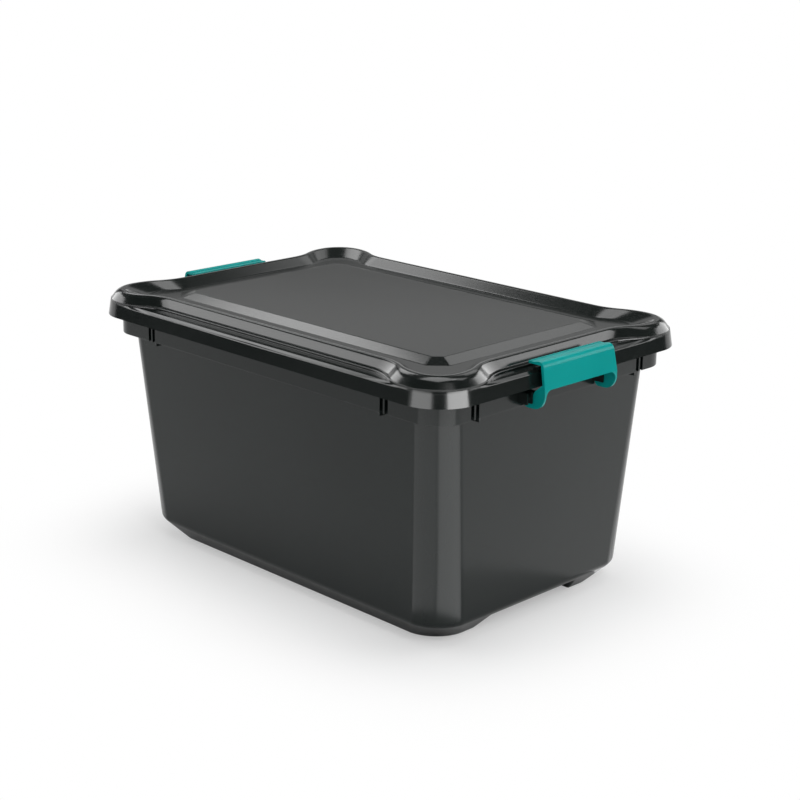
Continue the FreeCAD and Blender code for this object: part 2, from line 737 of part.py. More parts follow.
def make_clip(label, turn):
    """Build one clip handle: hooked flange, sloping plate and two legs that grip the axle stubs."""
    body = new_body(label)
    wall = size("clip_wall")
    plate_low_z = rim_z - size("plate_drop")
    leg_bottom_z = hinge_z - size("leg_drop")
    plate_foot_z = hinge_z - wall
    top_z = flange_underside_z + wall
    crown_z = top_z + size("flange_crown")
    tip_x = half_length - size("flange_reach")
    outer_top_x = half_length + size("plate_top_offset")
    outer_low_x = half_length + size("plate_low_offset")
    leg_back_x = hinge_x - size("leg_back")
    groove_x = tip_x + (outer_top_x - tip_x) * GROOVE_PLACE_SHARE
    groove_z = top_z + size("flange_crown") * GROOVE_PLACE_SHARE
    groove_end_x = groove_x + size("flange_groove_width")

    # Flange and plate, drawn from the side, with a groove along the flange's top
    plate_view = new_sketch(body, "plate_view", "XZ_Plane")
    polygon(plate_view, [
        (tip_x, flange_underside_z),
        (outer_top_x - wall, flange_underside_z),
        (outer_low_x - wall, plate_low_z),
        (outer_low_x - wall, plate_foot_z),
        (outer_low_x, plate_foot_z),
        (outer_low_x, plate_low_z),
        (outer_top_x, crown_z),
        (groove_end_x, groove_z),
        (groove_end_x, groove_z - size("flange_groove_depth")),
        (groove_x, groove_z - size("flange_groove_depth")),
        (groove_x, groove_z),
        (tip_x, top_z),
    ])
    plate = pad(body, "plate", plate_view, size("clip_length"), symmetric=True)
    fillet(body, "top_round", edges_along(plate, "y", outer_top_x, crown_z), plate, size("clip_top_round"))

    # Arch between the legs, with round upper corners
    arch_view = new_sketch(body, "arch_view", "YZ_Plane", tip_x)
    rectangle(arch_view, -leg_inner_y, leg_inner_y, leg_bottom_z, plate_low_z)
    arch = pocket(body, "arch", arch_view, size("flange_reach") + size("plate_low_offset") + size("overrun"))
    corners = edges_along(arch, "x", leg_inner_y, plate_low_z)
    corners += edges_along(arch, "x", -leg_inner_y, plate_low_z)
    fillet(body, "arch_round", corners, arch, size("arch_round"))

    # Legs: cheeks that run from the plate round under the axle to an open hook
    mouth_half = size("axle_radius") + size("axle_gap")
    mouth_z = hinge_z + size("mouth_height")
    leg_top_z = rim_z - size("leg_top_drop")
    shoulder_z = leg_top_z + size("leg_shoulder")
    for name, start_y in (("near_leg", leg_inner_y), ("far_leg", -leg_outer_y)):
        leg_view = new_sketch(body, f"{name}_view", "XZ_Plane", start_y)
        polygon(leg_view, [
            (outer_low_x - wall * 0.5, shoulder_z - size("leg_shoulder") * 0.5),
            (outer_low_x - wall, shoulder_z),
            (half_length, leg_top_z),
            (hinge_x + mouth_half, mouth_z),
            (hinge_x - mouth_half, mouth_z),
            (leg_back_x, hinge_z),
            (leg_back_x, leg_bottom_z),
            (outer_low_x, leg_bottom_z),
            (outer_low_x, plate_low_z),
        ])
        leg = pad(body, name, leg_view, size("leg_width"))
        back = edges_along(leg, "y", leg_back_x, leg_bottom_z)
        fillet(body, f"{name}_back_round", back, leg, size("leg_back_round"))

    # Round front of the legs and of the plate's foot between them and the arch
    front_view = new_sketch(body, "front_round_view", "XZ_Plane")
    outer_corner(front_view, outer_low_x, leg_bottom_z, size("leg_front_round"), size("overrun"))
    through = size("clip_length") + size("overrun")
    pocket(body, "front_round", front_view, through, symmetric=True)

    # Ends that draw in from the legs up to the flange
    ends_view = new_sketch(body, "ends_view", "YZ_Plane", tip_x - size("overrun"))
    past_y = leg_outer_y + size("overrun")
    past_z = crown_z + size("overrun")
    drawn_y = leg_outer_y - size("clip_end_draft")
    for side in (1, -1):
        corners = [(leg_outer_y, plate_low_z), (past_y, plate_low_z), (past_y, past_z), (drawn_y, past_z),
                   (drawn_y, crown_z)]
        polygon(ends_view, [(across * side, height) for across, height in corners])
    pocket(body, "ends", ends_view, size("flange_reach") + size("plate_low_offset") + size("overrun") * 2)

    # Snap bore for the axle stubs
    bore = new_sketch(body, "bore_outline", "XZ_Plane")
    circle(bore, hinge_x, hinge_z, mouth_half)
    body.Tip = pocket(body, "bore", bore, through, symmetric=True)
    about_z = FreeCAD.Rotation(FreeCAD.Vector(0, 0, 1), turn)
    body.Placement = FreeCAD.Placement(FreeCAD.Vector(0, 0, 0), about_z)
    return body


pieces = [make_tub(), make_lid(), make_clip("clip_right", 0), make_clip("clip_left", 180)]
document.recompute()

# Every object has to be sound before anything is written
for item in document.Objects:
    if "Invalid" in item.State or "Error" in item.State:
        raise RuntimeError(f"{item.Label} failed: {item.State}")
for piece in pieces:
    if piece.Shape.isNull() or not piece.Shape.isValid() or len(piece.Shape.Solids) != 1:
        raise RuntimeError(f"{piece.Label} is not one valid solid")

os.makedirs("parts", exist_ok=True)
for piece in pieces:
    piece.Shape.exportStep(f"parts/{piece.Label}.step")
    box = piece.Shape.BoundBox
    spans = f"{box.XLength:.1f} x {box.YLength:.1f} x {box.ZLength:.1f} mm"
    print(f"{piece.Label}: {spans}, {piece.Shape.Volume:.0f} mm3")
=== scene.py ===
"""Dress the lidded storage box: a formed lid, a satin tub and two clip handles on a white studio floor."""

import logging
import math
from dataclasses import dataclass, replace
from enum import Enum
from typing import Any

import bmesh
import bpy
from mathutils import Matrix, Vector


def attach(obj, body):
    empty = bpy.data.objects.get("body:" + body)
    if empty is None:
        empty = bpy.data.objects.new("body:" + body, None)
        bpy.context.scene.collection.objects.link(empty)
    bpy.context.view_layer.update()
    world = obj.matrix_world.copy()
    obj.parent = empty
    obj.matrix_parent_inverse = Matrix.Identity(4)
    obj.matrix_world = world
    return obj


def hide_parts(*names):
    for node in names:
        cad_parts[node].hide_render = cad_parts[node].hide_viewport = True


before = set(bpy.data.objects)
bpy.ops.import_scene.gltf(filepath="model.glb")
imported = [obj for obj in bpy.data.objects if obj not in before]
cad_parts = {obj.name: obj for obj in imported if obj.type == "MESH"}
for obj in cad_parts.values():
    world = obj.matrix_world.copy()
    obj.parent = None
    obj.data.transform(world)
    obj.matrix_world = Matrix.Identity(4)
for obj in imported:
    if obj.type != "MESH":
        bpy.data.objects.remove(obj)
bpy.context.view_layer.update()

LOGGER = logging.getLogger("storage_box")

# Lengths of the finished meshes and of the studio are in metres.
MILLIMETRE = 0.001
SAME_PLACE = 1e-6

# Lengths of the box are in millimetres.
HALF_LENGTH = 286.5
HALF_WIDTH = 200.0
CORNER_RADIUS = 46.0

# Where the lid's outlines start and stop flaring, counted along a side from the corner.
FOOT_FLARE = (117.0, 51.0)
CREST_FLARE = (110.0, 47.0)
SLOPE_FLARE = (106.0, 63.0)
LIP_FLARE = (84.0, 57.0)
PANEL_RUN = (150.0, 110.0)

WHITE = (1.0, 1.0, 1.0, 1.0)
NOISE_MIDDLE = 0.5
QUARTER_TURN = 90.0

Point = tuple[float, float]
Triple = tuple[float, float, float]
Colour = Triple
Rows = list[list[Vector]]


class CornerKind(Enum):
    """How an outline turns its corners."""

    ROUND = "round"
    CUT = "cut"


class Joining(Enum):
    """How a second mesh changes a piece."""

    ADDED = "UNION"
    CUT_OUT = "DIFFERENCE"


class Signal:
    """One shader socket, with arithmetic that adds Math nodes."""

    def __init__(self, bench: "NodeBench", socket: bpy.types.NodeSocket) -> None:
        """Keep the socket and the bench that adds the nodes."""
        self.bench = bench
        self.socket = socket

    def _math(self, operation: str, first: "Signal | float", second: "Signal | float") -> "Signal":
        """Add one Math node.

        Args:
            operation: The node's operation.
            first: The first signal or plain number.
            second: The second signal or plain number.

        Returns:
            The node's result.
        """
        node = self.bench.node("ShaderNodeMath", {"operation": operation}, {0: first, 1: second})
        return self.bench.signal(node)

    def __add__(self, other: "Signal | float") -> "Signal":
        """Return the sum."""
        return self._math("ADD", self, other)

    def __sub__(self, other: "Signal | float") -> "Signal":
        """Return the difference."""
        return self._math("SUBTRACT", self, other)

    def __rsub__(self, other: float) -> "Signal":
        """Return the difference with a number first."""
        return self._math("SUBTRACT", other, self)

    def __mul__(self, other: "Signal | float") -> "Signal":
        """Return the product."""
        return self._math("MULTIPLY", self, other)

    __radd__ = __add__
    __rmul__ = __mul__

    def most(self, other: "Signal | float") -> "Signal":
        """Return the larger of two values."""
        return self._math("MAXIMUM", self, other)

    def step(self, low: float, high: float) -> "Signal":
        """Return a smooth step from 0 at one value to 1 at another.

        Args:
            low: Where the step starts.
            high: Where the step ends.

        Returns:
            The stepped value.
        """
        node = self.bench.node("ShaderNodeMapRange", {"interpolation_type": "SMOOTHSTEP"},
                               Value=self, From_Min=low, From_Max=high)
        return self.bench.signal(node)


class NodeBench:
    """Adds nodes to one node tree."""

    # A Mix node has sockets of the same name for numbers, vectors and colours.
    MIX_FACTOR = 0
    MIX_FIRST = 6
    MIX_SECOND = 7
    MIX_RESULT = 2

    def __init__(self, tree: bpy.types.NodeTree) -> None:
        """Empty the tree and keep it."""
        tree.nodes.clear()
        self.tree = tree

    def node(self, kind: str, settings: dict[str, Any] | None = None,
             places: dict[int, Any] | None = None, **sockets: Any) -> bpy.types.Node:
        """Add one node.

        Args:
            kind: The node's type name.
            settings: Attributes that are set before the sockets.
            places: Values or links by socket number, for sockets that share a name.
            sockets: Values or links by socket name, with underscores for spaces.

        Returns:
            The new node.
        """
        made = self.tree.nodes.new(kind)
        for name, value in (settings or {}).items():
            setattr(made, name, value)
        named = {name.replace("_", " "): value for name, value in sockets.items()}
        for key, value in {**(places or {}), **named}.items():
            socket = made.inputs[key]
            if isinstance(value, Signal):
                self.tree.links.new(value.socket, socket)
            elif isinstance(value, bpy.types.NodeSocket):
                self.tree.links.new(value, socket)
            else:
                socket.default_value = value
        return made

    def signal(self, node: bpy.types.Node, output: str | int = 0) -> Signal:
        """Return one output of a node as a signal."""
        return Signal(self, node.outputs[output])

    def blend(self, factor: Signal, low: Colour, high: Colour) -> bpy.types.NodeSocket:
        """Mix two colours.

        Args:
            factor: 0 gives the first colour and 1 the second.
            low: The first colour.
            high: The second colour.

        Returns:
            The mixed colour's socket.
        """
        made = self.node("ShaderNodeMix", {"data_type": "RGBA"}, {
            self.MIX_FACTOR: factor,
            self.MIX_FIRST: (*low, 1.0),
            self.MIX_SECOND: (*high, 1.0),
        })
        return made.outputs[self.MIX_RESULT]

    def noise(self, place: bpy.types.NodeSocket, scale: float, detail: float, **sockets: float) -> Signal:
        """Add a noise.

        Args:
            place: Where the noise is looked up.
            scale: How fine it is.
            detail: How many finer layers it has.
            sockets: Values of its other sockets.

        Returns:
            The noise, from 0 to 1.
        """
        made = self.node("ShaderNodeTexNoise", Vector=place, Scale=scale, Detail=detail, **sockets)
        return self.signal(made)


def new_finish(name: str) -> tuple[bpy.types.Material, NodeBench]:
    """Return a new material and the bench for its nodes."""
    material = bpy.data.materials.new(name)
    material.use_nodes = True
    return material, NodeBench(material.node_tree)


@dataclass(frozen=True)
class MouldedPlastic:
    """Moulded plastic with a fine grain, faint flow clouds and small scuffs in its gloss."""

    name: str
    dark: Colour
    light: Colour
    roughness: float
    roughness_spread: float
    specular: float
    grain_scale: float
    grain_depth: float
    grain_detail: float = 2.0
    grain_strength: float = 0.35
    cloud_scale: float = 9.0
    cloud_detail: float = 3.0
    cloud_edges: Point = (0.3, 0.7)
    scuff_scale: float = 108.0
    scuff_detail: float = 5.0
    scuff_roughness: float = 0.65

    def material(self) -> bpy.types.Material:
        """Return the finish as a new material."""
        material, bench = new_finish(self.name)
        place = bench.node("ShaderNodeTexCoord").outputs["Object"]
        clouds = bench.noise(place, self.cloud_scale, self.cloud_detail)
        scuffs = bench.noise(place, self.scuff_scale, self.scuff_detail, Roughness=self.scuff_roughness)
        grain = bench.noise(place, self.grain_scale, self.grain_detail)
        colour = bench.blend(clouds.step(*self.cloud_edges), self.dark, self.light)
        wear = (scuffs - NOISE_MIDDLE) + (clouds - NOISE_MIDDLE)
        roughness = self.roughness + wear * self.roughness_spread
        bump = bench.node("ShaderNodeBump", Strength=self.grain_strength, Distance=self.grain_depth,
                          Height=grain)
        shader = bench.node("ShaderNodeBsdfPrincipled", Base_Color=colour, Roughness=roughness,
                            Normal=bump.outputs[0], Specular_IOR_Level=self.specular)
        bench.node("ShaderNodeOutputMaterial", Surface=shader.outputs[0])
        return material


TUB_PLASTIC = MouldedPlastic("tub_plastic", dark=(0.0050, 0.0080, 0.0074), light=(0.0060, 0.0093, 0.0087),
                             roughness=0.21, roughness_spread=0.03, specular=0.25,
                             grain_scale=1400.0, grain_depth=0.00001)
LID_PLASTIC = MouldedPlastic("lid_plastic", dark=(0.0050, 0.0074, 0.0066), light=(0.0060, 0.0085, 0.0077),
                             roughness=0.17, roughness_spread=0.03, specular=0.5,
                             grain_scale=1400.0, grain_depth=0.00001)
CLIP_PLASTIC = MouldedPlastic("clip_plastic", dark=(0.0006, 0.262, 0.248), light=(0.0008, 0.285, 0.270),
                              roughness=0.21, roughness_spread=0.03, specular=0.12,
                              grain_scale=1800.0, grain_depth=0.00001)


class MeshDraft:
    """Collects points in millimetres and faces, and makes one mesh object of them in metres."""

    def __init__(self, name: str) -> None:
        """Start an empty draft."""
        self.name = name
        self.points: list[Vector] = []
        self.faces: list[list[int]] = []

    def row(self, points: list[Vector]) -> list[int]:
        """Add one row of points and return their numbers."""
        first = len(self.points)
        self.points += points
        return list(range(first, len(self.points)))

    def skin(self, rows: Rows, capped: bool = True) -> list[list[int]]:
        """Cover closed rows with faces, from the first to the last.

        Args:
            rows: Closed outlines with the same number of points.
            capped: Whether the first and last rows are filled.

        Returns:
            The numbers of the rows' points.
        """
        numbers = [self.row(points) for points in rows]
        for low, high in zip(numbers, numbers[1:]):
            for here in range(len(low)):
                after = (here + 1) % len(low)
                self.faces.append([low[here], low[after], high[after], high[here]])
        if capped:
            self.faces.append(numbers[0][::-1])
            self.faces.append(numbers[-1])
        return numbers

    def planks(self, row: list[int], straight: int) -> None:
        """Fill a row with long faces between the points that mirror each other in X.

        Args:
            row: The numbers of the row's points, the first on the mirror plane.
            straight: How many points from the mirror plane on lie in one line.
        """
        count = len(row)
        half = count // 2
        self.faces.append(row[:straight + 1] + row[count - straight:])
        for here in range(straight, half - straight):
            self.faces.append([row[here], row[here + 1], row[count - here - 1], row[count - here]])
        self.faces.append(row[half - straight:half + straight + 1])

    def box(self, low: Vector, high: Vector) -> None:
        """Add a closed box between two corners."""
        outline = [(low.x, low.y), (high.x, low.y), (high.x, high.y), (low.x, high.y)]
        self.skin([[Vector((x, y, z)) for x, y in outline] for z in (low.z, high.z)])

    def rod(self, start: Vector, end: Vector, radius: float, steps: int = 32) -> None:
        """Add a closed round rod that runs along Y.

        Args:
            start: The middle of one end.
            end: The middle of the other end.
            radius: The rod's radius.
            steps: Faces round the rod.
        """
        turns = [2 * math.pi * step / steps for step in range(steps)]
        ring = [Vector((math.cos(turn), 0.0, math.sin(turn))) * radius for turn in turns]
        self.skin([[place + point for point in ring] for place in (start, end)])

    def finish(self) -> bpy.types.Object:
        """Make the object, with its faces turned outwards and shaded smooth."""
        mesh = bpy.data.meshes.new(self.name)
        mesh.from_pydata([point * MILLIMETRE for point in self.points], [], self.faces)
        shape = bmesh.new()
        shape.from_mesh(mesh)
        bmesh.ops.remove_doubles(shape, verts=shape.verts, dist=SAME_PLACE)
        bmesh.ops.dissolve_degenerate(shape, edges=shape.edges, dist=SAME_PLACE)
        bmesh.ops.recalc_face_normals(shape, faces=shape.faces)
        for face in shape.faces:
            face.smooth = True
        shape.to_mesh(mesh)
        shape.free()
        made = bpy.data.objects.new(self.name, mesh)
        bpy.context.scene.collection.objects.link(made)
        return made


def joined(piece: bpy.types.Object, tool: bpy.types.Object, how: Joining) -> None:
    """Add a second closed mesh to a piece, or cut it out, and delete the second one.

    Args:
        piece: The piece that is changed.
        tool: The mesh that is added or cut out.
        how: Which of the two.
    """
    step = piece.modifiers.new(how.value.lower(), "BOOLEAN")
    step.operation = how.value
    step.solver = "EXACT"
    step.use_self = how is Joining.ADDED
    step.object = tool
    shaped = piece.evaluated_get(bpy.context.evaluated_depsgraph_get())
    mesh = bpy.data.meshes.new_from_object(shaped)
    piece.modifiers.clear()
    piece.data = mesh
    bpy.data.objects.remove(tool)


def close_pinholes(piece: bpy.types.Object, most_sides: int = 4) -> None:
    """Close the slivers that a boolean can leave open.

    Args:
        piece: The piece.
        most_sides: Holes with more edges than this stay open.
    """
    shape = bmesh.new()
    shape.from_mesh(piece.data)
    bmesh.ops.holes_fill(shape, edges=[edge for edge in shape.edges if edge.is_boundary], sides=most_sides)
    shape.to_mesh(piece.data)
    shape.free()


def even_shading(piece: bpy.types.Object, sharp_angle: float = 38.0) -> None:
    """Shade a piece smooth, apart from its sharp edges.

    Args:
        piece: The piece.
        sharp_angle: The bend, in degrees, from which an edge stays sharp.
    """
    piece.data.set_sharp_from_angle(angle=math.radians(sharp_angle))
    even = piece.modifiers.new("even_normals", "WEIGHTED_NORMAL")
    even.keep_sharp = True


def rounded_rows(rows: Rows, rounds: list[float], steps: int = 4, most_share: float = 0.45) -> Rows:
    """Round the bends between rows.

    Args:
        rows: Outlines with matching points.
        rounds: How far from each row the rounding reaches, in millimetres.
        steps: Faces across each round.
        most_share: The most of the way to the next row that a round may take.

    Returns:
        The rows with each bent row replaced by the rows of its round.
    """
    made = [rows[0]]
    for before, here, after, reach in zip(rows, rows[1:], rows[2:], rounds[1:]):
        fan: Rows = [[] for _ in range(steps + 1)]
        for low, bend, high in zip(before, here, after):
            to_low, to_high = low - bend, high - bend
            cut = min(reach, most_share * to_low.length, most_share * to_high.length)
            start = bend + to_low.normalized() * cut
            end = bend + to_high.normalized() * cut
            for number, points in enumerate(fan):
                share = number / steps
                points.append(start.lerp(bend, share).lerp(bend.lerp(end, share), share))
        made += fan
    return made + [rows[-1]]


class Loop:
    """A closed outline round the box, given by one quarter of it."""

    def quarter(self) -> list[Point]:
        """Return one quarter, from the middle of a long side to the middle of an end.

        Returns:
            Points as distances in from the lid's end and in from its side.
        """
        raise NotImplementedError

    def row(self, height: float) -> list[Vector]:
        """Return the whole outline at one height.

        Args:
            height: The outline's height.

        Returns:
            The points, clockwise from above, with the same number in each quarter.
        """
        quarter = self.quarter()
        points = []
        for sign_x, sign_y in ((1, 1), (1, -1), (-1, -1), (-1, 1)):
            path = quarter if sign_x * sign_y > 0 else quarter[::-1]
            points += [Vector((sign_x * (HALF_LENGTH - u), sign_y * (HALF_WIDTH - w), height))
                       for u, w in path[:-1]]
        return points


@dataclass(frozen=True)
class LidLoop(Loop):
    """An outline of the lid that may flare out to its corners."""

    inset: float
    corner_inset: float
    corner: float
    flare_start: float
    flare_end: float
    kind: CornerKind = CornerKind.ROUND
    side_steps: int = 6
    flare_steps: int = 16
    corner_steps: int = 16

    def flare(self, share: float) -> float:
        """Return the inset part of the way along the flare, which is two arcs that meet.

        Args:
            share: 0 at the flare's start and 1 at its end.

        Returns:
            The inset there.
        """
        if self.inset == self.corner_inset:
            return self.inset
        shift = self.inset - self.corner_inset
        run = self.flare_start - self.flare_end
        radius = run / (2 * math.sin(2 * math.atan2(shift, run)))
        near = min(share, 1 - share) * run
        bulge = radius - math.copysign(math.sqrt(radius * radius - near * near), radius)
        return self.inset - bulge if share <= 0.5 else self.corner_inset + bulge

    def half_side(self, middle: float) -> list[Point]:
        """Return one side from its middle to the corner, as distances from the corner and insets.

        Args:
            middle: Distance from the side's middle to the lid's corner.

        Returns:
            The points, the corner's first point left out.
        """
        turn_start = self.corner_inset + self.corner
        path = [(middle + (self.flare_start - middle) * step / self.side_steps, self.inset)
                for step in range(self.side_steps)]
        run = self.flare_start - self.flare_end
        for step in range(self.flare_steps + 1):
            share = step / self.flare_steps
            path.append((self.flare_start - run * share, self.flare(share)))
        last = self.flare_end
        path += [(last + (turn_start - last) * step / self.side_steps, self.corner_inset)
                 for step in range(1, self.side_steps)]
        return path

    def turn(self) -> list[Point]:
        """Return the corner's points, from one side to the other."""
        path = []
        reach = self.corner_inset + self.corner
        for step in range(self.corner_steps + 1):
            share = step / self.corner_steps
            if self.kind is CornerKind.ROUND:
                angle = share * math.pi / 2
                path.append((reach - self.corner * math.sin(angle), reach - self.corner * math.cos(angle)))
            else:
                path.append((reach - self.corner * share, self.corner_inset + self.corner * share))
        return path

    def quarter(self) -> list[Point]:
        """Return one quarter: half a side, the corner and half an end."""
        end = [(inset, away) for away, inset in reversed(self.half_side(HALF_WIDTH))]
        return self.half_side(HALF_LENGTH) + self.turn() + end


@dataclass(frozen=True)
class TubLoop(Loop):
    """An outline of the tub: flat panels between round corner columns that stand proud of them."""

    end_inset: float
    side_inset: float
    radius: float
    recess: float
    side_marks: tuple[float, ...]
    end_marks: tuple[float, ...]
    ease: float = 2.5
    ease_steps: int = 5
    corner_steps: int = 20

    def eased(self, start: Point, bend: Point, end: Point) -> list[Point]:
        """Return the points between two places, on a curve that a bend draws towards itself.

        Args:
            start: The place before the first point.
            bend: The bend.
            end: The place after the last point.

        Returns:
            The points.
        """
        path = []
        for step in range(1, self.ease_steps):
            share = step / self.ease_steps
            first, middle, last = (1 - share) ** 2, 2 * share * (1 - share), share ** 2
            path.append((first * start[0] + middle * bend[0] + last * end[0],
                         first * start[1] + middle * bend[1] + last * end[1]))
        return path

    def quarter(self) -> list[Point]:
        """Return one quarter: half a panel, an eased step, the column and the same back."""
        turn_u = self.end_inset - self.recess + self.radius
        turn_w = self.side_inset - self.recess + self.radius
        swing = math.acos(1 - self.recess / self.radius)
        meet = self.radius * math.sin(swing)
        start = swing + self.ease / self.radius
        column = []
        for step in range(self.corner_steps + 1):
            angle = start + (math.pi / 2 - 2 * start) * step / self.corner_steps
            column.append((turn_u - self.radius * math.sin(angle), turn_w - self.radius * math.cos(angle)))
        side = [(u, self.side_inset) for u in (HALF_LENGTH, *self.side_marks, turn_u - meet + self.ease)]
        side += self.eased(side[-1], (turn_u - meet, self.side_inset), column[0])
        end = [(self.end_inset, w) for w in (HALF_WIDTH, *self.end_marks, turn_w - meet + self.ease)]
        end += self.eased(end[-1], (self.end_inset, turn_w - meet), column[-1])
        return side + column + end[::-1]


@dataclass
class Tub:
    """The open box: tapered wall with corner columns, rim deck, hanging band, ribs, axles and runners."""

    rim: float = 294.8
    wall: float = 2.5
    mouth: Triple = (21.0, 20.2, 49.0)
    base: Triple = (36.0, 41.0, 44.0)
    foot: Triple = (59.0, 61.5, 43.5)
    mouth_recess: float = 2.0
    base_recess: float = 0.4
    strip_height: float = 24.4
    runner_height: float = 17.3
    runner_half_gap: float = 81.0
    runner_slope: float = 10.0
    floor_bevel: float = 8.1
    sole_inset: float = 12.0
    side_marks: Point = (210.0, 150.0)
    end_mark: float = 165.0
    deck_inset: float = 3.0
    deck_thickness: float = 2.5
    band_inset: float = 14.0
    band_wall: float = 2.5
    band_drop: float = 36.4
    rib_thickness: float = 2.4
    rib_gap: float = 4.8
    rib_hang: float = 3.5
    slot_drop: float = 9.0
    side_rib_place: float = 92.0
    end_rib_place: float = 66.4
    leg_window: Point = (55.3, 60.2)
    hinge_ribs: Triple = (53.1, 60.2, 67.2)
    hinge_rib_thickness: float = 2.2
    hinge_rib_reach: float = 4.6
    hinge_rib_half_height: float = 6.0
    hinge_inset: float = 6.0
    hinge_drop: float = 25.0
    axle_radius: float = 3.0
    overlap: float = 0.5
    rib_sink: float = 0.1
    floor_round: float = 1.5
    wall_foot_round: float = 2.0
    mouth_round: float = 0.8
    deck_round: float = 0.7
    band_round: float = 1.0
    band_back_round: float = 0.8
    hidden_round: float = 0.5
    base_round: float = 4.0
    runner_round: float = 3.0

    def loop(self, sizes: Triple, inwards: float = 0.0, recess: float = 0.0) -> TubLoop:
        """Return an outline.

        Args:
            sizes: Its inset from the ends, its inset from the sides and its corner radius.
            inwards: How much further in it lies.
            recess: How far its corner columns stand proud.

        Returns:
            The outline, with points where the runners' inner slopes start and end.
        """
        slopes = (self.runner_half_gap - self.runner_slope, self.runner_half_gap)
        ends = [HALF_WIDTH - y - lean for y in slopes for lean in (0.0, self.wall)]
        end_inset, side_inset, radius = sizes
        return TubLoop(end_inset + inwards, side_inset + inwards, radius - inwards, recess,
                       self.side_marks, (self.end_mark, *ends))

    def runner_row(self, low: list[Vector], high: list[Vector], ceiling: float, lean: float) -> list[Vector]:
        """Return a row on the slope between two rows, raised between the two runners.

        Args:
            low: The row at the runners' height.
            high: The row that the slope leads up to.
            ceiling: The height between the runners.
            lean: How much further out the runners' inner slopes lie.

        Returns:
            The row.
        """
        points = []
        for under, over in zip(low, high):
            share = (self.runner_half_gap + lean - abs(under.y)) / self.runner_slope
            rise = min(max(share, 0.0), 1.0) * (ceiling - under.z)
            points.append(under.lerp(over, rise / (over.z - under.z)))
        return points

    def shell(self) -> bpy.types.Object:
        """Make the box with its deck and band, as one closed skin."""
        under_deck = self.rim - self.deck_thickness
        band_bottom = self.rim - self.band_drop
        floor = self.runner_height + self.wall
        taper = self.deck_thickness / (self.rim - self.strip_height)
        under_mouth = tuple(top + (low - top) * taper for top, low in zip(self.mouth, self.base))
        rim_loop, band_loop, band_back_loop = (
            self.loop((inset, inset, CORNER_RADIUS - inset))
            for inset in (self.deck_inset, self.band_inset, self.band_inset + self.band_wall))
        base = self.loop(self.base, recess=self.base_recess).row(self.strip_height)
        base_inner = self.loop(self.base, self.sole_inset).row(self.strip_height)
        floor_row = self.loop(self.base, self.floor_bevel).row(floor)
        trough = self.loop(self.foot, self.wall).row(self.wall)
        foot = self.loop(self.foot, recess=self.base_recess).row(0.0)
        sole = self.loop(self.foot, self.sole_inset).row(0.0)
        steps = [
            (self.runner_row(trough, floor_row, floor, self.wall), 0.0),
            (floor_row, self.floor_round),
            (self.loop(self.base, self.wall).row(self.strip_height), self.wall_foot_round),
            (self.loop(self.mouth, self.wall).row(self.rim), self.mouth_round),
            (rim_loop.row(self.rim), self.deck_round),
            (rim_loop.row(under_deck), self.deck_round),
            (band_loop.row(under_deck), self.band_back_round),
            (band_loop.row(band_bottom), self.band_round),
            (band_back_loop.row(band_bottom), self.band_back_round),
            (band_back_loop.row(under_deck), self.hidden_round),
            (self.loop(under_mouth, recess=self.mouth_recess).row(under_deck), self.hidden_round),
            (base, self.base_round),
            (self.runner_row(foot, base, self.runner_height, 0.0), self.runner_round),
            (self.runner_row(sole, base_inner, self.runner_height, 0.0), 0.0),
        ]
        draft = MeshDraft("tub_formed")
        rows = rounded_rows([row for row, _ in steps], [reach for _, reach in steps])
        numbers = draft.skin(rows, capped=False)
        # The side's middle and the last point before the column lie in line with its marks.
        straight = len(self.side_marks) + 2
        draft.planks(numbers[0], straight)
        draft.planks(numbers[-1], straight)
        return draft.finish()

    def quarters(self, draft: MeshDraft, low: Vector, high: Vector) -> None:
        """Add a box in each quarter of the tub.

        Args:
            draft: The draft that takes the boxes.
            low: The lowest corner in the quarter where X and Y count up.
            high: The highest corner there.
        """
        for sign_x in (1, -1):
            for sign_y in (1, -1):
                across = sorted((low.x * sign_x, high.x * sign_x))
                along = sorted((low.y * sign_y, high.y * sign_y))
                draft.box(Vector((across[0], along[0], low.z)), Vector((across[1], along[1], high.z)))

    def rib_boxes(self, draft: MeshDraft, middle: float, thickness: float,
                  insets: tuple[Point, Point], heights: Point) -> None:
        """Add a box to each group of ribs, on the sides and on the ends.

        Args:
            draft: The draft that takes the boxes.
            middle: How far the box lies from the group's middle, towards the corner.
            thickness: The box's thickness.
            insets: Its back and front, counted in from the lid's sides and from its ends.
            heights: Its bottom and top.
        """
        low, high = middle - thickness / 2, middle + thickness / 2
        x, y = HALF_LENGTH - self.side_rib_place, HALF_WIDTH - self.end_rib_place
        (side_back, side_front), (end_back, end_front) = insets
        bottom, top = heights
        self.quarters(draft, Vector((x + low, HALF_WIDTH - side_back, bottom)),
                      Vector((x + high, HALF_WIDTH - side_front, top)))
        self.quarters(draft, Vector((HALF_LENGTH - end_back, y + low, bottom)),
                      Vector((HALF_LENGTH - end_front, y + high, top)))

